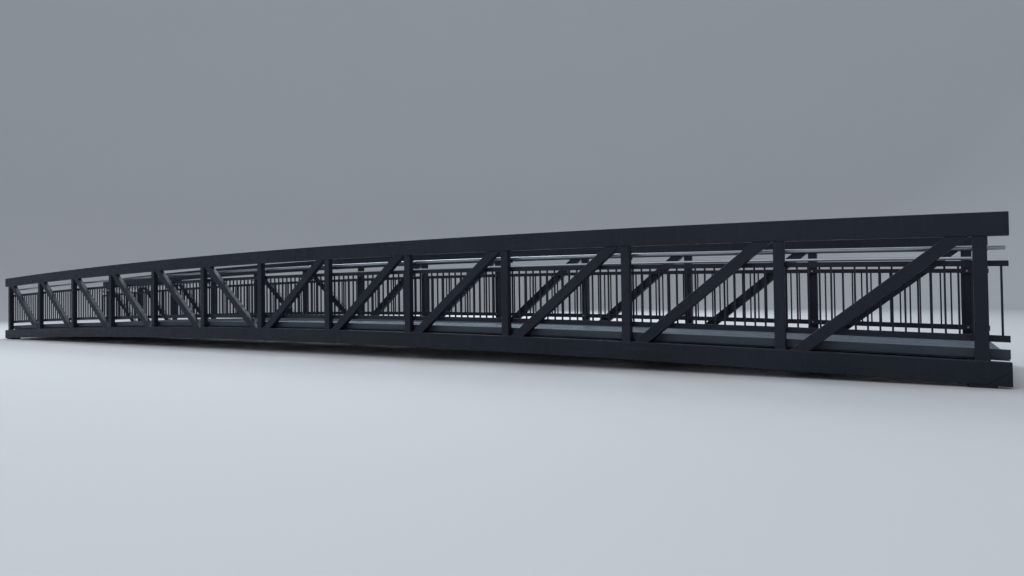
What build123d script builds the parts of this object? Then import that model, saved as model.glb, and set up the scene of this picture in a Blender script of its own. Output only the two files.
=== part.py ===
"""Aluminium truss footbridge: two arched Pratt trusses with a deck, kerbs, railings and handrails.

X runs along the bridge, Y across it and Z up. The origin lies under mid-span, on the level of the
bearing plates. The right side is at -Y and the left side at +Y, for someone who walks towards +X,
which is called east here.
"""

from build123d import *

import os
from math import asin, atan2, cos, sin, sqrt, tan

os.makedirs("parts", exist_ok=True)

# Trusses
bay_length = 2000
bay_count = 12
end_overhang = 250
camber = 205
overall_width = 2920
chord_depth = 250
chord_width = 120
web_height = 1320
post_width = 125
web_depth = 100
diagonal_width = 140
foot_gap = 42
head_gap = 20
seat_gap = 0.3
weld_groove = 4
toe_groove = 8
top_splice_offset = 160
bottom_splice_offset = 2390
toe_length = 230
toe_height = 160

# Bearings under the four chord ends
bearing_height = 30
bearing_length = 250
bearing_reach = 260
anchor_hole_diameter = 22
anchor_spacing = 170
anchor_inset = 50

# Floor
beam_depth = 160
beam_width = 100
bracing_inset = 20
bracing_cut = 100
bracing_depth = 60
bracing_lift = 50
deck_thickness = 50
deck_edge_gap = 60
kerb_height = 100
kerb_thickness = 30
kerb_drop = 25
length_gap = 4
bays_per_length = 3

# Railings
top_rail_depth = 60
bottom_rail_depth = 70
rail_thickness = 40
rail_standoff = 20
standoff_width = 60
top_rail_level = 985
bottom_rail_level = 187
baluster_size = 20
baluster_pitch = 125
handrail_diameter = 48.3
handrail_flats = 16
handrail_height = 1157
handrail_standoff = 104
handrail_setback = 16
bracket_length = 60
bracket_arm_drop = 60
bracket_arm_thickness = 12
bracket_stem_width = 20
bracket_plate_height = 60
bracket_plate_thickness = 6
cradle_depth = 4

# What follows from them
half_span = bay_length * bay_count / 2
half_length = half_span + end_overhang
arch_radius = (half_span**2 + camber**2) / (2 * camber)
chord_centre = overall_width / 2 - chord_width / 2
chord_inner_face = overall_width / 2 - chord_width
post_inner_face = chord_centre - web_depth / 2
bottom_chord_top = bearing_height + chord_depth
top_chord_underside = bottom_chord_top + web_height
deck_top = bottom_chord_top + deck_thickness
post_places = [-half_span + bay_length * number for number in range(bay_count + 1)]
length_joints = post_places[bays_per_length:-1:bays_per_length]
length_starts = [-half_length] + [joint + length_gap / 2 for joint in length_joints]
length_ends = [joint - length_gap / 2 for joint in length_joints] + [half_length]
sides = (("right", -1), ("left", 1))
ends = (("west", -1), ("east", 1))


def rise(x):
    """Height of the arch at x over its height at the end posts."""
    return sqrt(arch_radius**2 - x**2) - (arch_radius - camber)


def on_arch(x, level):
    """Point of the side view that lies at a level over the end posts' datum, lifted by the arch."""
    return (x, level + rise(x))


def upright_plane(y):
    """Side-view plane at y, drawn in X and Z. Its normal points to -Y."""
    return Plane.XZ.offset(-y)


def arched_strip(start, end, underside, depth, y):
    """Side view of a bar bent to the arch from start to end."""
    stations = (start, (start + end) / 2, end)
    with BuildSketch(upright_plane(y)) as strip:
        with BuildLine():
            lower = ThreePointArc(*[on_arch(x, underside) for x in stations])
            upper = ThreePointArc(*[on_arch(x, underside + depth) for x in stations])
            Line(lower @ 0, upper @ 0)
            Line(lower @ 1, upper @ 1)
        make_face()
    return strip.sketch


def kinked_strip(start, end, underside, depth, y):
    """Side view of a bar of straight runs that follows the arch, with a kink at each post."""
    stations = [start] + [x for x in post_places if start < x < end] + [end]
    lower = [on_arch(x, underside) for x in stations]
    upper = [on_arch(x, underside + depth) for x in reversed(stations)]
    with BuildSketch(upright_plane(y)) as strip:
        with BuildLine():
            Polyline(*lower, *upper, close=True)
        make_face()
    return strip.sketch


def upright_strip(x, width, underside, depth, y):
    """Side view of an upright bar, centred on x, whose foot and top follow the arch."""
    west = x - width / 2
    east = x + width / 2
    with BuildSketch(upright_plane(y)) as strip:
        with BuildLine():
            Polyline(
                on_arch(west, underside),
                on_arch(east, underside),
                on_arch(east, underside + depth),
                on_arch(west, underside + depth),
                close=True,
            )
        make_face()
    return strip.sketch


def reach_level(x, z, slope, level):
    """Where the line of that slope through x, z meets the arch at a level."""
    meeting = x
    for _ in range(8):
        meeting = x + (level + rise(meeting) - z) / tan(slope)
    return on_arch(meeting, level)


def diagonal_strip(foot_post, head_post, y):
    """Side view of a diagonal from one post's foot to the next one's head, cut to both chords."""
    way = 1 if head_post > foot_post else -1
    foot_level = bottom_chord_top + seat_gap
    head_level = top_chord_underside - seat_gap
    foot_x, foot_z = on_arch(foot_post + way * (post_width / 2 + foot_gap), foot_level)
    head_x, head_z = on_arch(head_post - way * (post_width / 2 + head_gap), head_level)
    reach = sqrt((head_x - foot_x) ** 2 + (head_z - foot_z) ** 2)
    slope = atan2(head_z - foot_z, head_x - foot_x) + way * asin(diagonal_width / reach)
    with BuildSketch(upright_plane(y)) as strip:
        with BuildLine():
            Polyline(
                (foot_x, foot_z),
                reach_level(head_x, head_z, slope, foot_level),
                (head_x, head_z),
                reach_level(foot_x, foot_z, slope, head_level),
                close=True,
            )
        make_face()
    return strip.sketch


def toe_strip(end_sign, y):
    """Side view of the wedge that closes the lower corner of a bottom chord's end."""
    end_x = end_sign * half_length
    start_x = end_x - end_sign * toe_length
    underside = bearing_height + rise(end_x)
    with BuildSketch(upright_plane(y)) as strip:
        with BuildLine():
            Polyline(
                (start_x, bearing_height + rise(start_x)),
                (end_x, underside),
                (end_x, underside + toe_height),
                close=True,
            )
        make_face()
        add(arched_strip(-half_length, half_length, bearing_height, chord_depth, y), mode=Mode.INTERSECT)
    return strip.sketch


# Chords, each in two lengths that are butt welded off the middle of the span
for side_name, side in sides:
    for chord_name, underside, splice in (
        ("bottom_chord", bearing_height, bottom_splice_offset),
        ("top_chord", top_chord_underside, top_splice_offset),
    ):
        for end_name, start, end in (("west", -half_length, splice), ("east", splice, half_length)):
            with BuildPart() as chord:
                extrude(
                    arched_strip(start, end, underside, chord_depth, side * chord_centre),
                    amount=chord_width / 2,
                    both=True,
                )
                upright_faces = chord.faces().filter_by(Axis.X)
                splice_face = upright_faces.sort_by(lambda face: abs(face.center().X - splice))[0]
                chamfer(splice_face.edges(), length=weld_groove)
                if chord_name == "bottom_chord":
                    extrude(
                        toe_strip(-1 if end_name == "west" else 1, side * chord_centre),
                        amount=chord_width / 2,
                        both=True,
                        mode=Mode.SUBTRACT,
                    )
            chord.part.label = f"{side_name}_{chord_name}_{end_name}"
            export_step(chord.part, f"parts/{chord.part.label}.step")

# Wedges at the lower corners of the bottom chord's ends, with a wider weld groove along their slope
for side_name, side in sides:
    for end_name, end_sign in ends:
        with BuildPart() as toe:
            extrude(toe_strip(end_sign, side * chord_centre), amount=chord_width / 2, both=True)
            slope_face = toe.faces().sort_by(Axis.Z)[-1]
            chamfer(slope_face.edges().filter_by(Axis.Y, reverse=True), length=toe_groove)
        toe.part.label = f"{side_name}_chord_toe_{end_name}"
        export_step(toe.part, f"parts/{toe.part.label}.step")

# Posts
for side_name, side in sides:
    with BuildPart() as posts:
        for x in post_places[1:-1]:
            extrude(
                upright_strip(
                    x,
                    post_width,
                    bottom_chord_top + seat_gap,
                    web_height - 2 * seat_gap,
                    side * chord_centre,
                ),
                amount=web_depth / 2,
                both=True,
            )
    posts.part.label = f"{side_name}_posts"
    export_step(posts.part, f"parts/{posts.part.label}.step")
    for end_name, end_sign in ends:
        with BuildPart() as end_post:
            extrude(
                upright_strip(
                    end_sign * half_span,
                    post_width,
                    bottom_chord_top + seat_gap,
                    web_height - 2 * seat_gap,
                    side * chord_centre,
                ),
                amount=web_depth / 2,
                both=True,
            )
        end_post.part.label = f"{side_name}_end_post_{end_name}"
        export_step(end_post.part, f"parts/{end_post.part.label}.step")

# Diagonals, which lean outwards from mid-span to both ends
for side_name, side in sides:
    for end_name, end_sign in ends:
        with BuildPart() as diagonals:
            for number in range(bay_count // 2):
                foot_post = end_sign * number * bay_length
                head_post = end_sign * (number + 1) * bay_length
                extrude(
                    diagonal_strip(foot_post, head_post, side * chord_centre),
                    amount=web_depth / 2,
                    both=True,
                )
        diagonals.part.label = f"{side_name}_diagonals_{end_name}"
        export_step(diagonals.part, f"parts/{diagonals.part.label}.step")

# Bearing plates, level below and tapered to the chord above, with two anchor holes on their inner flange
anchor_y = overall_width / 2 - bearing_reach + anchor_inset
with BuildPart() as bearings:
    for bearing_x in (-half_span, half_span):
        for side in (-1, 1):
            with BuildSketch(upright_plane(side * (overall_width / 2 - bearing_reach / 2))):
                with BuildLine():
                    Polyline(
                        (bearing_x - bearing_length / 2, 0),
                        (bearing_x + bearing_length / 2, 0),
                        on_arch(bearing_x + bearing_length / 2, bearing_height - seat_gap),
                        on_arch(bearing_x - bearing_length / 2, bearing_height - seat_gap),
                        close=True,
                    )
                make_face()
            extrude(amount=bearing_reach / 2, both=True)
    with Locations((-half_span, 0, 0), (half_span, 0, 0)):
        with GridLocations(anchor_spacing, 2 * anchor_y, 2, 2):
            Hole(anchor_hole_diameter / 2)
bearings.part.label = "bearing_plates"
export_step(bearings.part, "parts/bearing_plates.step")

# Cross beams between the bottom chords, one at each pair of posts
beam_underside = bottom_chord_top - beam_depth
with BuildPart() as cross_beams:
    for x in post_places[1:-1]:
        extrude(
            upright_strip(x, beam_width, beam_underside, beam_depth - seat_gap, 0),
            amount=chord_inner_face,
            both=True,
        )
cross_beams.part.label = "cross_beams"
export_step(cross_beams.part, "parts/cross_beams.step")

with BuildPart() as end_beams:
    for x in (-half_span, half_span):
        extrude(
            upright_strip(x, beam_width, beam_underside, beam_depth - seat_gap, 0),
            amount=chord_inner_face,
            both=True,
        )
end_beams.part.label = "end_beams"
export_step(end_beams.part, "parts/end_beams.step")

# Wind bracing in the plane of the cross beams, one bar a bay, zigzagging between the bottom chords
bracing_end = chord_inner_face - bracing_inset
with BuildPart() as wind_bracing:
    with BuildSketch():
        for number, (west_post, east_post) in enumerate(zip(post_places[:-1], post_places[1:])):
            way = 1 if number % 2 == 0 else -1
            west_face = west_post + beam_width / 2
            east_face = east_post - beam_width / 2
            with BuildLine():
                Polyline(
                    (west_face, -way * bracing_end),
                    (west_face, -way * (bracing_end - bracing_cut)),
                    (east_face, way * bracing_end),
                    (east_face, way * (bracing_end - bracing_cut)),
                    close=True,
                )
            make_face()
    extrude(amount=deck_top + camber)
    extrude(
        kinked_strip(-half_span, half_span, beam_underside + bracing_lift, bracing_depth, 0),
        amount=chord_inner_face,
        both=True,
        mode=Mode.INTERSECT,
    )
wind_bracing.part.label = "wind_bracing"
export_step(wind_bracing.part, "parts/wind_bracing.step")

# Deck in lengths that meet over a cross beam
deck_half_width = chord_inner_face - deck_edge_gap
for number, (start, end) in enumerate(zip(length_starts, length_ends), start=1):
    with BuildPart() as deck:
        extrude(
            arched_strip(start, end, bottom_chord_top, deck_thickness, 0),
            amount=deck_half_width,
            both=True,
        )
    deck.part.label = f"deck_panel_{number}"
    export_step(deck.part, f"parts/{deck.part.label}.step")

# Kerbs along both edges of the deck
kerb_centre = deck_half_width + kerb_thickness / 2
for side_name, side in sides:
    with BuildPart() as kerb:
        for start, end in zip(length_starts, length_ends):
            extrude(
                kinked_strip(start, end, deck_top - kerb_drop, kerb_height, side * kerb_centre),
                amount=kerb_thickness / 2,
                both=True,
            )
    kerb.part.label = f"{side_name}_kerb"
    export_step(kerb.part, f"parts/{kerb.part.label}.step")

# Railing panels: two rails joined by balusters, held off the inner faces of the posts by blocks
railing_centre = post_inner_face - rail_standoff - rail_thickness / 2
standoff_centre = post_inner_face - rail_standoff / 2
rails = [
    (deck_top + bottom_rail_level - bottom_rail_depth / 2, bottom_rail_depth),
    (deck_top + top_rail_level - top_rail_depth / 2, top_rail_depth),
]
baluster_length = top_rail_level - bottom_rail_level
baluster_middle = deck_top + (top_rail_level + bottom_rail_level) / 2
balusters_to_middle = int(half_length // baluster_pitch)
baluster_numbers = range(-balusters_to_middle, balusters_to_middle)
baluster_places = [baluster_pitch * (number + 0.5) for number in baluster_numbers]
for side_name, side in sides:
    for number, (start, end) in enumerate(zip(length_starts, length_ends), start=1):
        with BuildPart() as panel:
            for underside, depth in rails:
                extrude(
                    kinked_strip(start, end, underside, depth, side * railing_centre),
                    amount=rail_thickness / 2,
                    both=True,
                )
            with BuildSketch(upright_plane(side * railing_centre)):
                with Locations(*[on_arch(x, baluster_middle) for x in baluster_places if start < x < end]):
                    Rectangle(baluster_size, baluster_length)
            extrude(amount=baluster_size / 2, both=True)
            for underside, depth in rails:
                for x in post_places:
                    block_start = max(x - standoff_width / 2, start)
                    block_end = min(x + standoff_width / 2, end)
                    if block_start < block_end:
                        extrude(
                            kinked_strip(block_start, block_end, underside, depth, side * standoff_centre),
                            amount=rail_standoff / 2,
                            both=True,
                        )
        panel.part.label = f"{side_name}_railing_panel_{number}"
        export_step(panel.part, f"parts/{panel.part.label}.step")

# Handrail tubes with a kink at each post, in lengths that meet over a bracket.
# The round tube is drawn with flats.
handrail_y = post_inner_face - handrail_standoff
handrail_level = deck_top + handrail_height
handrail_end = half_length - handrail_setback
handrail_starts = [-handrail_end] + length_starts[1:]
handrail_ends = length_ends[:-1] + [handrail_end]
for side_name, side in sides:
    with BuildPart() as handrail:
        for start, end in zip(handrail_starts, handrail_ends):
            stations = [start] + [x for x in post_places if start < x < end] + [end]
            with BuildLine(upright_plane(side * handrail_y)) as route:
                Polyline(*[on_arch(x, handrail_level) for x in stations])
            with BuildSketch(Plane(origin=route.line @ 0, z_dir=route.line % 0)):
                RegularPolygon(handrail_diameter / 2, handrail_flats)
            sweep(path=route.line)
    handrail.part.label = f"{side_name}_handrail"
    export_step(handrail.part, f"parts/{handrail.part.label}.step")

# Handrail brackets of flat bar: a plate on each post, an arm and a stem that cradles the tube
stem_top = -handrail_diameter / 2 + cradle_depth
for side_name, side in sides:
    with BuildPart() as brackets:
        for x in post_places:
            handrail_plane = Plane(
                origin=(x, side * handrail_y, handrail_level + rise(x)),
                x_dir=(0, side, 0),
                z_dir=(side * sqrt(arch_radius**2 - x**2), 0, -side * x),
            )
            with BuildSketch(handrail_plane):
                with Locations((0, stem_top)):
                    Rectangle(
                        bracket_stem_width,
                        bracket_arm_drop + stem_top,
                        align=(Align.CENTER, Align.MAX),
                    )
                with Locations((-bracket_stem_width / 2, -bracket_arm_drop)):
                    Rectangle(
                        handrail_standoff + bracket_stem_width / 2,
                        bracket_arm_thickness,
                        align=(Align.MIN, Align.CENTER),
                    )
                with Locations((handrail_standoff, -bracket_arm_drop)):
                    Rectangle(
                        bracket_plate_thickness,
                        bracket_plate_height,
                        align=(Align.MAX, Align.CENTER),
                    )
                RegularPolygon(handrail_diameter / 2 + seat_gap, handrail_flats, mode=Mode.SUBTRACT)
            extrude(amount=bracket_length / 2, both=True)
    brackets.part.label = f"{side_name}_handrail_brackets"
    export_step(brackets.part, f"parts/{brackets.part.label}.step")
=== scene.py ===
import math
import random

import bmesh
import bpy
from mathutils import Matrix, Vector


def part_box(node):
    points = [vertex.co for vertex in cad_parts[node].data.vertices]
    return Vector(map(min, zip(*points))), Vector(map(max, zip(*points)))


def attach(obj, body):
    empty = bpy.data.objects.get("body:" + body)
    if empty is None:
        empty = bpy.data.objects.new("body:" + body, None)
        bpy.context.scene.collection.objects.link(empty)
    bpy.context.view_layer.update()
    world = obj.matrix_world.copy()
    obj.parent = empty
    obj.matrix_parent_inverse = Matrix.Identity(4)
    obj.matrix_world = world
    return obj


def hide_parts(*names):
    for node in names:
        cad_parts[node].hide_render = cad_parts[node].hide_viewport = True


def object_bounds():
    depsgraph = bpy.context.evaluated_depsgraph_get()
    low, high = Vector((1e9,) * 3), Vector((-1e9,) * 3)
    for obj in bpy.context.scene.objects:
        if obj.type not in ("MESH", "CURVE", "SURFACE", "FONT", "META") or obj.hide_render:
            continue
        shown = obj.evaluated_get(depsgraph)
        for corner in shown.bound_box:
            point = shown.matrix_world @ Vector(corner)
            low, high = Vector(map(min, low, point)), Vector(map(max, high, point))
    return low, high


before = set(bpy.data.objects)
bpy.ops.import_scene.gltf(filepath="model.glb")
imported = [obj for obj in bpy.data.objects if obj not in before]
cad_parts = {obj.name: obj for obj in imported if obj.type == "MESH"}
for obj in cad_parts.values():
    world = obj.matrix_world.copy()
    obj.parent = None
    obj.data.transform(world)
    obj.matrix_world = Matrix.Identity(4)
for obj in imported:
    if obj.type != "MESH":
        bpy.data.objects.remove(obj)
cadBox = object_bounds()
random.seed(24)
print("frame loaded:", len(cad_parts), "nodes")


# The arch and the levels that the frame gives

bridge = {
    "bay": 2.0,            # from post to post
    "bays": 12,
    "lengths": 4,          # of the deck, the railings and the handrails
    "camber": 0.205,       # rise of the arch between the end posts
}
halfSpan = bridge["bay"] * bridge["bays"] / 2
archRadius = (halfSpan**2 + bridge["camber"] ** 2) / (2 * bridge["camber"])
halfLength = cadBox[1].x
postPlaces = [bridge["bay"] * number - halfSpan for number in range(bridge["bays"] + 1)]
lengthBays = bridge["bays"] // bridge["lengths"]
lengthJoints = postPlaces[lengthBays:-1:lengthBays]


def riseAt(x):
    return math.sqrt(archRadius**2 - x**2) - (archRadius - bridge["camber"])


def levelBelow(node, x):  # underside of a node that is lowest at x, with the arch taken off
    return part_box(node)[0].z - riseAt(x)


def levelAbove(node, x):  # top of a node that is highest at x, with the arch taken off
    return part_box(node)[1].z - riseAt(x)


bottomChordTop = levelAbove("right_bottom_chord_west", 0)
topChordLow = levelBelow("right_top_chord_west", halfLength)
deckLow = levelBelow("deck_panel_1", halfLength)
deckTop = levelAbove("deck_panel_2", 0)
webInner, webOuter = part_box("left_end_post_east")[0].y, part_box("left_end_post_east")[1].y
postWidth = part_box("left_end_post_east")[1].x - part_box("left_end_post_east")[0].x


# Mesh helpers

meshing = {
    "merge": 1e-5,         # corners closer than this are one
    "flat": 0.05,          # degrees between faces that are one
    "hard": 30,            # degrees from which an edge can be rounded
    "sharp": 32,           # degrees from which the shading breaks
}


def sharpEdges(bm, weightOf):  # gives each hard edge its share of the piece's rounding
    layers = bm.edges.layers.float
    layer = layers.get("bevel_weight_edge") or layers.new("bevel_weight_edge")
    for edge in bm.edges:
        if len(edge.link_faces) == 2 and edge.calc_face_angle(0) > math.radians(meshing["hard"]):
            edge[layer] = weightOf(edge.calc_length())


def joinRings(bm, rings, capped=True, closed=False):  # skin from ring to ring, and a face over each end
    following = rings[1:] + rings[:1] if closed else rings[1:]
    for ring, nextRing in zip(rings, following):
        for corner in range(len(ring)):
            other = (corner + 1) % len(ring)
            bm.faces.new((ring[corner], ring[other], nextRing[other], nextRing[corner]))
    if capped:
        bm.faces.new(rings[0])
        bm.faces.new(rings[-1])


def makePiece(name, bm, finishes, standsFor=(), rounding=0.0, steps=3):
    bmesh.ops.recalc_face_normals(bm, faces=bm.faces)
    mesh = bpy.data.meshes.new(name)
    bm.to_mesh(mesh)
    bm.free()
    for finish in finishes:
        mesh.materials.append(finish)
    mesh.shade_smooth()
    mesh.set_sharp_from_angle(angle=math.radians(meshing["sharp"]))
    piece = bpy.data.objects.new(name, mesh)
    bpy.context.scene.collection.objects.link(piece)
    if rounding:
        bevel = piece.modifiers.new("rounding", "BEVEL")
        bevel.width = rounding
        bevel.segments = steps
        bevel.limit_method = "WEIGHT"
        bevel.use_clamp_overlap = False
        bevel.harden_normals = True
        bevel.material = len(finishes) - 1
    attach(piece, "root")
    if standsFor:
        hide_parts(*standsFor)
    return piece


def roundedCopy(node, finishes, rounding, longEdge=0.3, endShare=0.25, steps=3):
    # The node's own solid with its flat faces cleaned up and its edges rounded
    bm = bmesh.new()
    bm.from_mesh(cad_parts[node].data)
    bmesh.ops.remove_doubles(bm, verts=bm.verts, dist=meshing["merge"])
    flat = math.radians(meshing["flat"])
    bmesh.ops.dissolve_limit(bm, angle_limit=flat, verts=bm.verts, edges=bm.edges)
    bmesh.ops.recalc_face_normals(bm, faces=bm.faces)
    sharpEdges(bm, lambda length: 1.0 if length > longEdge else endShare)
    return makePiece(node + "_rounded", bm, finishes, [node], rounding, steps)


def sideSolid(bm, low, high, nearY, farY):  # closed bar from side-view points of its underside and top
    rings = []
    for (lowX, lowZ), (highX, highZ) in zip(low, high):
        corners = ((lowX, nearY, lowZ), (highX, nearY, highZ), (highX, farY, highZ), (lowX, farY, lowZ))
        rings.append([bm.verts.new(corner) for corner in corners])
    joinRings(bm, rings)


def archLine(stations, level):
    return [(x, level + riseAt(x)) for x in stations]


def kinkStations(start, end):  # both ends and the posts between them, where straight runs meet
    return [start] + [x for x in postPlaces if start < x < end] + [end]


def evenStations(start, end, step):
    count = max(1, round((end - start) / step))
    return [start + (end - start) * number / count for number in range(count + 1)]


def latheSolid(bm, centre, axis, profile, sides):
    # Closed round solid, from a profile of radius and height along the axis
    turn = axis.to_track_quat("Z", "Y").to_matrix()
    rings = []
    for radius, height in profile:
        ring = []
        for number in range(sides):
            angle = 2 * math.pi * number / sides
            point = Vector((radius * math.cos(angle), radius * math.sin(angle), height))
            ring.append(bm.verts.new(centre + turn @ point))
        rings.append(ring)
    joinRings(bm, rings)


# Finishes

def newFinish(name):
    material = bpy.data.materials.new(name)
    material.use_nodes = True
    tree = material.node_tree
    return material, tree, tree.nodes["Principled BSDF"]


def addNode(tree, kind, inputs=None, **settings):
    node = tree.nodes.new(kind)
    for key, value in settings.items():
        setattr(node, key, value)
    for key, value in (inputs or {}).items():
        if isinstance(value, bpy.types.NodeSocket):
            tree.links.new(value, node.inputs[key])
        else:
            node.inputs[key].default_value = value
    return node


def grain(tree, scale, detail=3.0, stretch=(1, 1, 1), offset=(0, 0, 0)):
    # Noise in metres on the piece: a larger scale is a finer grain
    place = addNode(tree, "ShaderNodeTexCoord").outputs["Object"]
    moved = addNode(tree, "ShaderNodeMapping", {"Vector": place, "Scale": stretch, "Location": offset})
    inputs = {"Vector": moved.outputs[0], "Scale": scale, "Detail": detail}
    return addNode(tree, "ShaderNodeTexNoise", inputs).outputs["Fac"]


def spread(tree, value, low, high, newLow=0.0, newHigh=1.0):
    inputs = {"Value": value, "From Min": low, "From Max": high, "To Min": newLow, "To Max": newHigh}
    return addNode(tree, "ShaderNodeMapRange", inputs, clamp=True).outputs["Result"]


def times(tree, first, second):
    return addNode(tree, "ShaderNodeMath", {0: first, 1: second}, operation="MULTIPLY").outputs[0]


def blendColours(tree, share, first, second, way="MIX"):
    node = tree.nodes.new("ShaderNodeMix")
    node.data_type = "RGBA"
    node.blend_type = way
    for socket, value in ((node.inputs[0], share), (node.inputs[6], first), (node.inputs[7], second)):
        if isinstance(value, bpy.types.NodeSocket):
            tree.links.new(value, socket)
        else:
            socket.default_value = value
    return node.outputs[2]


def upwardShare(tree, low, high):  # how far a face looks up
    normal = addNode(tree, "ShaderNodeNewGeometry").outputs["Normal"]
    upward = addNode(tree, "ShaderNodeSeparateXYZ", {0: normal}).outputs["Z"]
    return spread(tree, upward, low, high)


def roughen(tree, shader, layers):  # stacked bumps, each as height, strength and depth in metres
    normal = None
    for height, strength, depth in layers:
        inputs = {"Height": height, "Strength": strength, "Distance": depth}
        if normal:
            inputs["Normal"] = normal
        normal = addNode(tree, "ShaderNodeBump", inputs).outputs["Normal"]
    tree.links.new(normal, shader.inputs["Normal"])


coatLook = {
    "deep": (0.0072, 0.0101, 0.0176, 1),
    "pale": (0.0118, 0.0158, 0.0253, 1),
    # dust tone, which on faces that look up also paints light on the tops
    "dustAndTopLight": (0.052, 0.066, 0.088, 1),
    "bare": (0.30, 0.31, 0.33, 1),
    "streakDust": 0.10,    # most dust in the streaks, and so on
    "mottleDust": 0.10,
    "speckDust": 0.26,
    # share on faces that look up: settled dust, and painted light on the tops
    "settledDustAndTopLight": 0.62,   # on what looks up
    "rubbedDust": 0.16,
    "chipMetal": 0.8,
    "smooth": 0.40,        # least and most roughness
    "dull": 0.60,
    "specular": 0.22,
}


def coatFinish(name, look, chipShare=0.0):
    material, tree, shader = newFinish(name)
    dustAndTopLight = look["dustAndTopLight"]
    cloud = grain(tree, 0.9, 5)
    colour = blendColours(tree, spread(tree, cloud, 0.35, 0.65), look["deep"], look["pale"])
    streak = grain(tree, 3.0, 4, (5.0, 5.0, 0.4))
    colour = blendColours(tree, spread(tree, streak, 0.55, 0.75, 0, look["streakDust"]), colour, dustAndTopLight)
    mottle = grain(tree, 60, 4)
    colour = blendColours(tree, spread(tree, mottle, 0.45, 0.75, 0, look["mottleDust"]), colour, dustAndTopLight)
    speck = grain(tree, 650, 2)
    colour = blendColours(tree, spread(tree, speck, 0.58, 0.72, 0, look["speckDust"]), colour, dustAndTopLight)
    # Patches of the dust tone on faces that look up: settled dust, and painted light on the tops
    patchy = spread(tree, grain(tree, 7, 6), 0.30, 0.70, 0.15, look["settledDustAndTopLight"])
    settledAndTopLit = times(tree, upwardShare(tree, 0.35, 0.95), patchy)
    colour = blendColours(tree, settledAndTopLit, colour, dustAndTopLight)
    rubbed = grain(tree, 1.4, 8, (0.6, 3.0, 9.0), (4, 2, 1))
    colour = blendColours(tree, spread(tree, rubbed, 0.66, 0.74, 0, look["rubbedDust"]), colour, dustAndTopLight)
    dullness = spread(tree, grain(tree, 9, 8), 0.3, 0.7, look["smooth"], look["dull"])
    if chipShare:
        chips = spread(tree, grain(tree, 55, 3), 1 - chipShare, 1.015 - chipShare)
        colour = blendColours(tree, chips, colour, look["bare"])
        tree.links.new(times(tree, chips, look["chipMetal"]), shader.inputs["Metallic"])
    tree.links.new(colour, shader.inputs["Base Color"])
    tree.links.new(dullness, shader.inputs["Roughness"])
    shader.inputs["Specular IOR Level"].default_value = look["specular"]
    peel = grain(tree, 240, 3)
    waves = grain(tree, 1.7, 2)
    roughen(tree, shader, [(waves, 0.25, 0.004), (peel, 0.50, 0.0008)])
    return material


steelLook = {"darker": 0.78, "smear": 0.35}  # tone of the dark lines, and their share in the smears


def steelFinish(name, colour, smooth, dull, along=(2.0, 500.0, 500.0)):
    # Satin metal whose polishing lines run along the axis that is stretched least
    material, tree, shader = newFinish(name)
    lines = grain(tree, 1.0, 3, along)
    patches = grain(tree, 3.0, 4)
    darker = tuple(steelLook["darker"] * part for part in colour[:3]) + (1,)
    tone = blendColours(tree, spread(tree, lines, 0.3, 0.7), darker, colour)
    smear = blendColours(tree, spread(tree, patches, 0.55, 0.75, 0, steelLook["smear"]), tone, darker)
    tree.links.new(smear, shader.inputs["Base Color"])
    tree.links.new(spread(tree, patches, 0.3, 0.7, smooth, dull), shader.inputs["Roughness"])
    shader.inputs["Metallic"].default_value = 1.0
    roughen(tree, shader, [(lines, 0.06, 0.0002), (patches, 0.04, 0.001)])
    return material


deckLook = {
    "metal": (0.118, 0.147, 0.176, 1),
    "worn": (0.166, 0.197, 0.229, 1),
    "soil": (0.055, 0.058, 0.062, 1),
    "plankShade": 0.35,    # most that one plank differs from the next
    "soilShare": 0.42,
    "gritShare": 0.5,
    "metallic": 0.55,
    "smooth": 0.42,        # least and most roughness
    "dull": 0.66,
}


def deckFinish(name, look):
    material, tree, shader = newFinish(name)
    lines = grain(tree, 1.0, 4, (1.2, 260.0, 260.0))
    colour = blendColours(tree, spread(tree, lines, 0.35, 0.65), look["metal"], look["worn"])
    perPlank = spread(tree, grain(tree, 1.0, 0, (0.02, 3.9, 0.02)), 0.35, 0.65, 0, look["plankShade"])
    colour = blendColours(tree, perPlank, colour, look["metal"])
    soil = spread(tree, grain(tree, 2.3, 8), 0.50, 0.78, 0, look["soilShare"])
    colour = blendColours(tree, soil, colour, look["soil"])
    grit = spread(tree, grain(tree, 700, 2), 0.62, 0.74, 0, look["gritShare"])
    colour = blendColours(tree, grit, colour, look["soil"])
    tree.links.new(colour, shader.inputs["Base Color"])
    dullness = spread(tree, grain(tree, 4, 5), 0.3, 0.7, look["smooth"], look["dull"])
    tree.links.new(dullness, shader.inputs["Roughness"])
    shader.inputs["Metallic"].default_value = look["metallic"]
    roughen(tree, shader, [(lines, 0.10, 0.0004), (grit, 0.25, 0.0006)])
    return material


coat = coatFinish("anthracite_coat", coatLook)
edgeLook = {**coatLook, "pale": (0.0145, 0.0185, 0.0275, 1), "smooth": 0.32}
coatEdge = coatFinish("anthracite_coat_edges", edgeLook, 0.15)
kerbCoatLook = {**coatLook, "deep": (0.037, 0.050, 0.065, 1), "pale": (0.048, 0.062, 0.079, 1)}
coatKerb = coatFinish("grey_coat_kerb", kerbCoatLook)
coatWeld = coatFinish("anthracite_coat_welds", {**coatLook, "smooth": 0.28, "dull": 0.42})
satinTube = steelFinish("satin_handrail_metal", (0.39, 0.42, 0.455, 1), 0.34, 0.46)
satinScrew = steelFinish("satin_screw_metal", (0.50, 0.51, 0.52, 1), 0.30, 0.48, (300, 300, 300))
deckMetal = deckFinish("ribbed_deck_metal", deckLook)
kerbLook = {**deckLook, "metal": (0.170, 0.200, 0.232, 1), "worn": (0.215, 0.245, 0.275, 1)}
kerbMetal = deckFinish("bare_kerb_metal", kerbLook)
coated = [coat, coatEdge]
print("finishes made")


# Trusses: chords, posts and diagonals as extruded sections with rounded corners

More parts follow.
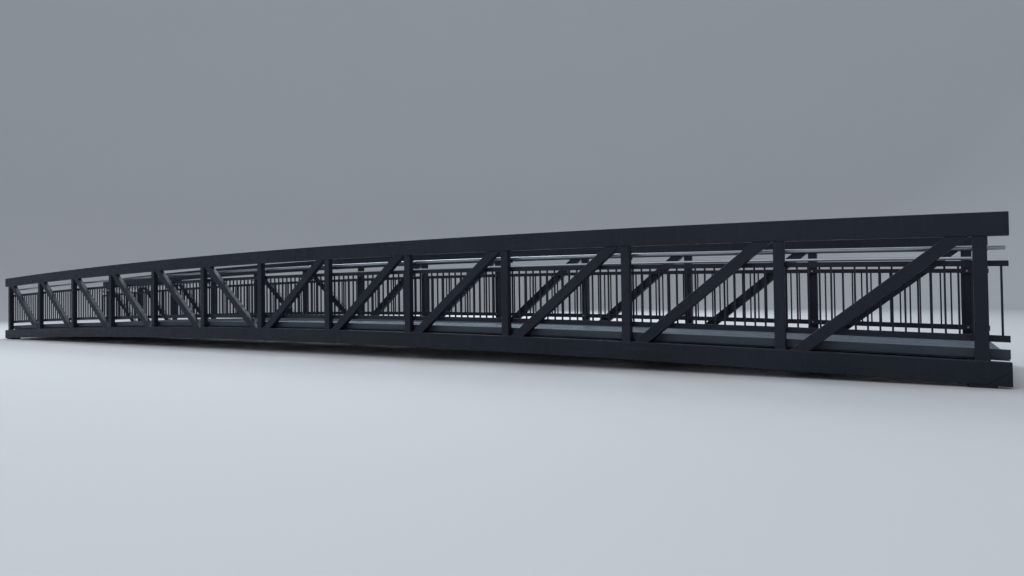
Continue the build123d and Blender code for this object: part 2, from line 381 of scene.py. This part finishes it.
trussSection = {
    "chordRadius": 0.009,
    "webRadius": 0.007,
    "toeRadius": 0.0015,
}
sides = (("right", -1), ("left", 1))
for sideName, side in sides:
    for chordName in ("bottom_chord", "top_chord"):
        for endName in ("west", "east"):
            node = f"{sideName}_{chordName}_{endName}"
            roundedCopy(node, coated, trussSection["chordRadius"])
    for endName in ("west", "east"):
        roundedCopy(
            f"{sideName}_chord_toe_{endName}", coated, trussSection["toeRadius"],
            longEdge=0.1, endShare=0.0,
        )
    for webName in ("posts", "end_post_west", "end_post_east", "diagonals_west", "diagonals_east"):
        roundedCopy(f"{sideName}_{webName}", coated, trussSection["webRadius"])
print("trusses rounded")


# Weld beads, rippled, round the feet and heads of posts and diagonals and the ends of the beams

bead = {
    "leg": 0.008,
    "ripple": 0.16,        # share of the leg
    "crown": 0.62,         # how far the middle stands out, as a share of the leg
    "pitch": 0.013,        # from ripple to ripple
    "step": 0.0055,
    "root": 0.0015,        # how far the bead's back lies in the metal
}


def beadPath(corners):  # points and outward normals along a closed outline, counter-clockwise
    path = []
    for start, end in zip(corners, corners[1:] + corners[:1]):
        run = end - start
        count = max(3, round(run.length / bead["step"]))
        outward = Vector((run.y, -run.x)).normalized()
        for number in range(count):
            path.append((start + run * (number + 0.5) / count, outward))
    return path


def addBead(bm, corners, place):
    # place turns a point of the outline, a way out from it and a way up the bar into a point of the bridge
    path = beadPath(corners)
    rings = []
    travelled = 0.0
    previous = path[0][0]
    shift = random.random() * 2 * math.pi
    for point, outward in path:
        travelled += (point - previous).length
        previous = point
        swell = 1 + bead["ripple"] * math.sin(shift + 2 * math.pi * travelled / bead["pitch"])
        toe, crown, root = bead["leg"] * swell, bead["crown"] * bead["leg"] * swell, bead["root"]
        section = ((toe, 0.0), (crown, crown), (0.0, bead["leg"]), (-root, -root))
        rings.append([bm.verts.new(place(point, outward, out, up)) for out, up in section])
    joinRings(bm, rings, capped=False, closed=True)


def chordPlacer(level, upSign, lean):  # on a chord's top or underside, round a bar that leans along X
    def place(point, outward, out, up):
        x = point.x + outward.x * out + lean * up * upSign
        y = point.y + outward.y * out
        return Vector((x, y, level + riseAt(x) + upSign * up))
    return place


def barOutline(westX, eastX, nearY, farY):
    return [Vector((westX, nearY)), Vector((eastX, nearY)), Vector((eastX, farY)), Vector((westX, farY))]


def slantOf(node, number):  # foot and head of one diagonal, read from the frame
    bm = bmesh.new()
    bm.from_mesh(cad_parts[node].data)
    middle = number * bridge["bay"]
    inBay = [vertex.co for vertex in bm.verts if middle < abs(vertex.co.x) < middle + bridge["bay"]]
    split = (bottomChordTop + topChordLow) / 2
    feet = [co.x for co in inBay if co.z - riseAt(co.x) < split]
    heads = [co.x for co in inBay if co.z - riseAt(co.x) > split]
    bm.free()
    return (min(feet), max(feet)), (min(heads), max(heads))


for sideName, side in sides:
    bm = bmesh.new()
    nearY, farY = sorted((side * webInner, side * webOuter))
    for x in postPlaces:
        outline = barOutline(x - postWidth / 2, x + postWidth / 2, nearY, farY)
        addBead(bm, outline, chordPlacer(bottomChordTop, 1, 0))
        addBead(bm, outline, chordPlacer(topChordLow, -1, 0))
    for endName in ("west", "east"):
        for number in range(bridge["bays"] // 2):
            feet, heads = slantOf(f"{sideName}_diagonals_{endName}", number)
            lean = (sum(heads) - sum(feet)) / 2 / (topChordLow - bottomChordTop)
            addBead(bm, barOutline(*feet, nearY, farY), chordPlacer(bottomChordTop, 1, lean))
            addBead(bm, barOutline(*heads, nearY, farY), chordPlacer(topChordLow, -1, lean))
    makePiece(f"{sideName}_truss_welds", bm, [coatWeld])
print("truss welds laid")


# Floor frame: cross beams, end beams, wind bracing and bearing plates

floorFrame = {"beamRadius": 0.006, "bracingRadius": 0.005}
for node in ("cross_beams", "end_beams"):
    roundedCopy(node, coated, floorFrame["beamRadius"])
roundedCopy("wind_bracing", coated, floorFrame["bracingRadius"])
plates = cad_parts["bearing_plates"]
plates.data.materials.clear()
plates.data.materials.append(coat)

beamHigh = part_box("end_beams")[1]
beamHalf = beamHigh.x - halfSpan
beamUnder = levelBelow("end_beams", beamHigh.x)


def flankPlacer(side, faceY):  # on a bottom chord's inner face, round a beam that runs across
    def place(point, outward, out, up):
        return Vector((point.x + outward.x * out, side * (faceY - up), point.y + outward.y * out))
    return place


bm = bmesh.new()
for sideName, side in sides:
    for x in postPlaces:
        top = bottomChordTop + riseAt(x) - bead["leg"]
        outline = barOutline(x - beamHalf, x + beamHalf, beamUnder + riseAt(x), top)
        addBead(bm, outline, flankPlacer(side, beamHigh.y))
makePiece("floor_frame_welds", bm, [coatWeld])
print("floor frame done")


# Deck: hollow planks that run along the bridge, ribbed on top, open at the bridge's ends

planking = {
    "planks": 10,
    "gap": 0.004,
    "gapDepth": 0.012,
    "ribs": 11,            # on one plank
    "ribHeight": 0.0016,
    "ribShare": 0.52,      # rib width as a share of the pitch
    "ribSlope": 0.0012,
    "lip": 0.020,          # depth of the edge behind the kerb, below which the side is set in
    "setIn": 0.060,
    "skin": 0.0045,
    "web": 0.0035,
    "chambers": 3,         # in one plank
    "pocket": 0.16,        # length of the open ends that is modelled hollow
    "lap": 0.001,          # how far pieces of one plank reach into each other
    "step": 0.5,
}


def plankOutline(start, end):  # top line of one plank from -Y to +Y, as y and depth under the top
    line = [(start, planking["gapDepth"]), (start, planking["ribHeight"])]
    pitch = (end - start) / planking["ribs"]
    half = planking["ribShare"] * pitch / 2
    for rib in range(planking["ribs"]):
        middle = start + (rib + 0.5) * pitch
        line.append((middle - half - planking["ribSlope"], planking["ribHeight"]))
        line.append((middle - half, 0.0))
        line.append((middle + half, 0.0))
        line.append((middle + half + planking["ribSlope"], planking["ribHeight"]))
    return line + [(end, planking["ribHeight"]), (end, planking["gapDepth"])]


def plankEdges(halfWidth):  # both sides of each plank
    width = 2 * halfWidth / planking["planks"]
    starts = [-halfWidth + plank * width + planking["gap"] / 2 for plank in range(planking["planks"])]
    return [(start, start + width - planking["gap"]) for start in starts]


def addDeckPrism(bm, stations, outline):  # closed solid along the arch from an outline of y and depth
    rings = []
    for x in stations:
        rings.append([bm.verts.new((x, y, deckTop - depth + riseAt(x))) for y, depth in outline])
    joinRings(bm, rings)


def bandOutline(near, far, shallow, deep):  # rectangle of the section, from y to y and from depth to depth
    return [(near, shallow), (far, shallow), (far, deep), (near, deep)]


def addOpenEnd(bm, stations, halfWidth):  # skins and webs of the planks where one looks into them
    thickness = deckTop - deckLow
    inner = halfWidth - planking["setIn"]
    floorDepth = thickness - planking["skin"]
    gapDepth = planking["gapDepth"]
    skinDepth = gapDepth + planking["lap"]
    for start, end in plankEdges(halfWidth):
        addDeckPrism(bm, stations, plankOutline(start, end) + [(end, skinDepth), (start, skinDepth)])
        low, high = max(start, -inner), min(end, inner)
        addDeckPrism(bm, stations, bandOutline(low, high, floorDepth, thickness))
        pitch = (high - low - planking["web"]) / planking["chambers"]
        for number in range(planking["chambers"] + 1):
            webStart = low + number * pitch
            web = bandOutline(webStart, webStart + planking["web"], gapDepth, floorDepth)
            addDeckPrism(bm, stations, web)
    for side in (-1, 1):
        near, far = sorted((side * inner, side * halfWidth))
        lip = planking["lip"]
        addDeckPrism(bm, stations, bandOutline(near, far, lip - planking["skin"], lip))


for number in range(1, bridge["lengths"] + 1):
    node = f"deck_panel_{number}"
    low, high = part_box(node)
    inner, thickness = high.y - planking["setIn"], deckTop - deckLow
    outline = [point for edges in plankEdges(high.y) for point in plankOutline(*edges)]
    outline += [(high.y, planking["lip"]), (inner, planking["lip"]), (inner, thickness)]
    outline += [(-inner, thickness), (-inner, planking["lip"]), (-high.y, planking["lip"])]
    bm = bmesh.new()
    start = low.x + planking["pocket"] if number == 1 else low.x
    end = high.x - planking["pocket"] if number == bridge["lengths"] else high.x
    addDeckPrism(bm, evenStations(start, end, planking["step"]), outline)
    if start > low.x:
        addOpenEnd(bm, (low.x, start + planking["lap"]), high.y)
    if end < high.x:
        addOpenEnd(bm, (end - planking["lap"], high.x), high.y)
    makePiece(f"{node}_planks", bm, [deckMetal], [node])

kerbing = {
    "radius": 0.004,
    "inward": -0.9,        # a face whose outward share is under this looks at the walkway
}
for sideName, side in sides:
    kerb = roundedCopy(f"{sideName}_kerb", [coatKerb], kerbing["radius"])
    kerb.data.materials.append(kerbMetal)
    for face in kerb.data.polygons:
        if face.normal.y * side < kerbing["inward"]:
            face.material_index = 1  # left bare
print("deck and kerbs laid")


# Railing panels: box rails on stand-off blocks, and square balusters welded between the rails

railing = {
    "topDepth": 0.060,
    "bottomDepth": 0.070,
    "railThickness": 0.040,
    "standoffWidth": 0.060,
    "baluster": 0.020,
    "pitch": 0.125,
    "rounding": 0.007,
    "balusterShare": 0.23,  # of the rails' rounding
    "weldLeg": 0.003,
    "weldSunk": 0.0005,     # how far the weld goes into the rail
    "weldGap": 0.0002,      # from the baluster to the weld's tip
    "sunk": 0.004,          # how far a baluster's end goes into the rail
    "longEdge": 1.2,        # edges longer than this are the rails'
    "middleEdge": 0.5,      # edges longer than this are the balusters'
}
railTop = levelAbove("right_railing_panel_1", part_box("right_railing_panel_1")[1].x)
railLow = levelBelow("right_railing_panel_1", halfLength)
rails = ((railLow, railing["bottomDepth"]), (railTop - railing["topDepth"], railing["topDepth"]))
balusterFoot, balusterHead = railLow + railing["bottomDepth"], railTop - railing["topDepth"]
railingInner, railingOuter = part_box("left_railing_panel_1")[0].y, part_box("left_railing_panel_1")[1].y
railOuter = railingInner + railing["railThickness"]
balusterY = railingInner + railing["railThickness"] / 2


def kinkedRise(x):  # height of the straight run between two posts
    west = max([place for place in postPlaces if place <= x], default=-halfLength)
    east = min([place for place in postPlaces if place > x], default=halfLength)
    share = (x - west) / (east - west)
    return riseAt(west) * (1 - share) + riseAt(east) * share


def squareRing(bm, x, y, half, level):
    corners = [(x - half, y - half), (x + half, y - half), (x + half, y + half), (x - half, y + half)]
    return [bm.verts.new((*corner, level)) for corner in corners]


def addUprightBar(bm, x, y, half, low, high):
    joinRings(bm, [squareRing(bm, x, y, half, low), squareRing(bm, x, y, half, high)])


def addSkirt(bm, x, y, half, level, up):  # small fillet weld round one end of a baluster
    leg = railing["weldLeg"]
    base = squareRing(bm, x, y, half + leg, level - up * railing["weldSunk"])
    tip = squareRing(bm, x, y, half + railing["weldGap"], level + up * leg)
    joinRings(bm, [base, tip])


def railingEdge(length):  # share of the rounding that an edge of this length gets
    if length > railing["longEdge"]:
        return 1.0
    return railing["balusterShare"] if length > railing["middleEdge"] else 0.0


balusterRows = int(halfLength // railing["pitch"])
balusterPlaces = [railing["pitch"] * (number + 0.5) for number in range(-balusterRows, balusterRows)]
for sideName, side in sides:
    for number in range(1, bridge["lengths"] + 1):
        node = f"{sideName}_railing_panel_{number}"
        low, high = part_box(node)
        bm = bmesh.new()
        for level, depth in rails:
            stations = kinkStations(low.x, high.x)
            lower, upper = archLine(stations, level), archLine(stations, level + depth)
            sideSolid(bm, lower, upper, side * railingInner, side * railOuter)
            for x in postPlaces:
                start = max(low.x, x - railing["standoffWidth"] / 2)
                end = min(high.x, x + railing["standoffWidth"] / 2)
                if start < end:
                    block = (start, end)
                    lower, upper = archLine(block, level), archLine(block, level + depth)
                    sideSolid(bm, lower, upper, side * railOuter, side * railingOuter)
        half = railing["baluster"] / 2
        for x in balusterPlaces:
            if low.x < x < high.x:
                foot = balusterFoot + kinkedRise(x)
                head = balusterHead + kinkedRise(x)
                addUprightBar(bm, x, side * balusterY, half, foot - railing["sunk"], head + railing["sunk"])
                addSkirt(bm, x, side * balusterY, half, foot, 1)
                addSkirt(bm, x, side * balusterY, half, head, -1)
        sharpEdges(bm, railingEdge)
        makePiece(f"{node}_bars", bm, coated, [node], railing["rounding"])
print("railing panels built")


# Handrails: round tube in four lengths a side, joined over sleeves, with domed ends

tube = {
    "sides": 32,
    "sleeve": 0.0016,      # how far the sleeve at a joint lies under the tube's face
    "sleeveReach": 2,      # how far it goes to each side, in gaps
    "dome": 0.35,          # depth of the domed end as a share of the radius
    "domeAngles": (75, 55, 35, 15),
}
bracket = {
    "radius": 0.0015,
    "plate": 0.006,        # thickness
    "armDrop": 0.060,      # from the tube's middle to the plate's
}
tubeRadius = (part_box("left_handrail")[1].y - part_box("left_handrail")[0].y) / 2
tubeY = (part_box("left_handrail")[1].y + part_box("left_handrail")[0].y) / 2
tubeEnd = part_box("left_handrail")[1].x
tubeLevel = levelAbove("left_handrail", 0) - tubeRadius
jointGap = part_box("deck_panel_2")[0].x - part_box("deck_panel_1")[1].x


def addTube(bm, stations, y, level, radii):  # one radius for each station
    rings = []
    for x, radius in zip(stations, radii):
        ring = []
        for number in range(tube["sides"]):
            angle = 2 * math.pi * number / tube["sides"]
            height = level + kinkedRise(x) + radius * math.sin(angle)
            ring.append(bm.verts.new((x, y + radius * math.cos(angle), height)))
        rings.append(ring)
    joinRings(bm, rings)


def domedEnd(end, inward):  # stations and radii of a shallow dome that ends at end
    depth = tube["dome"] * tubeRadius
    angles = [math.radians(angle) for angle in tube["domeAngles"]]
    stations = [end + inward * depth * (1 - math.sin(angle)) for angle in angles]
    return stations, [tubeRadius * math.cos(angle) for angle in angles]


for sideName, side in sides:
    bm = bmesh.new()
    joints = [-tubeEnd] + lengthJoints + [tubeEnd]
    for start, end in zip(joints[:-1], joints[1:]):
        atWestEnd, atEastEnd = start == joints[0], end == joints[-1]
        stations, radii = [], []
        west = start if atWestEnd else start + jointGap / 2
        east = end if atEastEnd else end - jointGap / 2
        if atWestEnd:
            stations, radii = domedEnd(west, 1)
            west += tube["dome"] * tubeRadius
        if atEastEnd:
            east -= tube["dome"] * tubeRadius
        straight = kinkStations(west, east)
        stations = stations + straight
        radii = radii + [tubeRadius] * len(straight)
        if atEastEnd:
            capStations, capRadii = domedEnd(end, -1)
            stations = stations + capStations[::-1]
            radii = radii + capRadii[::-1]
        addTube(bm, stations, side * tubeY, tubeLevel, radii)
    for joint in lengthJoints:
        reach = tube["sleeveReach"] * jointGap
        sleeve = (joint - reach, joint, joint + reach)
        addTube(bm, sleeve, side * tubeY, tubeLevel, [tubeRadius - tube["sleeve"]] * len(sleeve))
    makePiece(f"{sideName}_handrail_tube", bm, [satinTube], [f"{sideName}_handrail"])
    roundedCopy(
        f"{sideName}_handrail_brackets", coated, bracket["radius"],
        longEdge=0.001, endShare=0.0, steps=2,
    )
print("handrails built")


# Fixings: button-head screws through the rails into the posts, and in the bracket plates

screw = {
    "sides": 20,
    "washer": 0.012,
    "washerHeight": 0.0018,
    "head": 0.0095,
    "headHeight": 0.0065,
    "socket": 0.0034,
    "socketDepth": 0.0028,
    "sunk": 0.001,         # how far the washer goes into the metal
    "plateDrop": 0.021,    # from the middle of a bracket plate
    "plateShift": 0.018,
}


def addScrew(bm, centre, axis):
    base, height = screw["washerHeight"], screw["headHeight"]
    washer = [(screw["washer"], -screw["sunk"]), (screw["washer"], base)]
    latheSolid(bm, centre, axis, washer, screw["sides"])
    profile = [
        (screw["head"], 0.0),
        (screw["head"], base + 0.25 * height),
        (0.86 * screw["head"], base + 0.68 * height),
        (0.62 * screw["head"], base + height),
        (screw["socket"], base + height),
        (0.92 * screw["socket"], base + height - screw["socketDepth"]),
    ]
    latheSolid(bm, centre, axis, profile, screw["sides"])


for sideName, side in sides:
    bm = bmesh.new()
    inward = Vector((0, -side, 0))
    for x in postPlaces:
        for level, depth in rails:
            shift = railing["standoffWidth"] / 4 if x in lengthJoints else 0
            for place in {x - shift, x + shift}:  # two screws where lengths meet, or else one
                height = level + depth / 2 + riseAt(x)
                addScrew(bm, Vector((place, side * railingInner, height)), inward)
        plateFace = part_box("left_handrail_brackets")[1].y - bracket["plate"]
        armLevel = tubeLevel - bracket["armDrop"]
        for drop in (-screw["plateDrop"], screw["plateDrop"]):
            for shift in (-screw["plateShift"], screw["plateShift"]):
                centre = Vector((x + shift, side * plateFace, armLevel + drop + riseAt(x)))
                addScrew(bm, centre, inward)
    makePiece(f"{sideName}_screws", bm, [satinScrew])
print("screws set")


# Stage: pale floor that curves up into a backdrop, a soft sky and three large lamps

stage = {
    "flat": 44.0,
    "curve": 10.0,
    "bends": 12,           # steps of the curve
    "wall": 48.0,
    "sides": 96,
    "tone": (0.60, 0.605, 0.61, 1),
    "paleTone": (0.66, 0.66, 0.66, 1),
    "roughness": 0.85,
    "specular": 0.2,
    "sky": (0.80, 0.86, 0.95, 1),
    "skyStrength": 0.65,
}


def makeStage():
    flat, curve = stage["flat"], stage["curve"]
    profile = [(flat / 3, 0.0), (flat, 0.0)]  # radius and height
    for number in range(1, stage["bends"] + 1):
        angle = math.pi / 2 * number / stage["bends"]
        profile.append((flat + curve * math.sin(angle), curve * (1 - math.cos(angle))))
    profile.append((flat + curve, stage["wall"]))
    bm = bmesh.new()
    rings = []
    for radius, height in profile:
        ring = []
        for number in range(stage["sides"]):
            angle = 2 * math.pi * number / stage["sides"]
            ring.append(bm.verts.new((radius * math.cos(angle), radius * math.sin(angle), height)))
        rings.append(ring)
    bm.faces.new(rings[0])
    joinRings(bm, rings[::-1], capped=False)  # from the wall down, so that the faces look inwards
    mesh = bpy.data.meshes.new("studio_floor")
    bm.to_mesh(mesh)
    bm.free()
    mesh.shade_smooth()
    material, tree, shader = newFinish("studio_floor_paint")
    cloud = spread(tree, grain(tree, 0.15, 2), 0.3, 0.7, 0, 0.05)
    tone = blendColours(tree, cloud, stage["tone"], stage["paleTone"])
    tree.links.new(tone, shader.inputs["Base Color"])
    shader.inputs["Roughness"].default_value = stage["roughness"]
    shader.inputs["Specular IOR Level"].default_value = stage["specular"]
    mesh.materials.append(material)
    floor = bpy.data.objects.new("studio_floor", mesh)
    bpy.context.scene.collection.objects.link(floor)


def addLamp(name, place, aim, size, power, colour):
    light = bpy.data.lights.new(name, "AREA")
    light.shape = "RECTANGLE"
    light.size, light.size_y = size
    light.energy = power
    light.color = colour
    lamp = bpy.data.objects.new(name, light)
    lamp.location = place
    lamp.rotation_euler = (Vector(aim) - Vector(place)).to_track_quat("-Z", "Y").to_euler()
    bpy.context.scene.collection.objects.link(lamp)


makeStage()
addLamp("lamp_behind", (-16, 20, 22), (-1, 0, 1), (26, 14), 9000, (0.82, 0.91, 1.0))
addLamp("lamp_front", (-1, -24, 16), (-1, 0, 1), (28, 14), 2150, (0.92, 0.96, 1.0))
addLamp("lamp_over", (0, 0, 20), (0, 0, 0), (32, 16), 1100, (0.94, 0.97, 1.0))
world = bpy.data.worlds.new("studio_sky")
world.use_nodes = True
sky = world.node_tree.nodes["Background"]
sky.inputs["Color"].default_value = stage["sky"]
sky.inputs["Strength"].default_value = stage["skyStrength"]
bpy.context.scene.world = world
bpy.context.scene.view_settings.view_transform = "Standard"
print("stage set")


# Camera, solved from the photograph's straight lines

camera = {
    "place": (11.522, -9.88, 0.995),
    "turn": 32.55,          # degrees to the left of +Y
    "tilt": 1.02,           # degrees up
    "roll": -0.775,         # degrees
    "focal": 650.0,         # pixels
    "frameWidth": 1024.0,   # pixels
    "sensor": 36.0,         # millimetres
    "reach": 300.0,         # how far it sees
}


def makeCamera():
    yaw, pitch, roll = (math.radians(camera[key]) for key in ("turn", "tilt", "roll"))
    forward = Vector((-math.sin(yaw) * math.cos(pitch), math.cos(yaw) * math.cos(pitch), math.sin(pitch)))
    level = Vector((math.cos(yaw), math.sin(yaw), 0))
    upright = level.cross(forward)
    right = math.cos(roll) * level + math.sin(roll) * upright
    up = -math.sin(roll) * level + math.cos(roll) * upright
    data = bpy.data.cameras.new("camera")
    data.sensor_width = camera["sensor"]
    data.lens = camera["focal"] / camera["frameWidth"] * camera["sensor"]
    data.clip_end = camera["reach"]
    eye = bpy.data.objects.new("camera", data)
    axes = Matrix((right, up, -forward)).transposed().to_4x4()
    eye.matrix_world = Matrix.Translation(camera["place"]) @ axes
    bpy.context.scene.collection.objects.link(eye)
    bpy.context.scene.camera = eye


makeCamera()
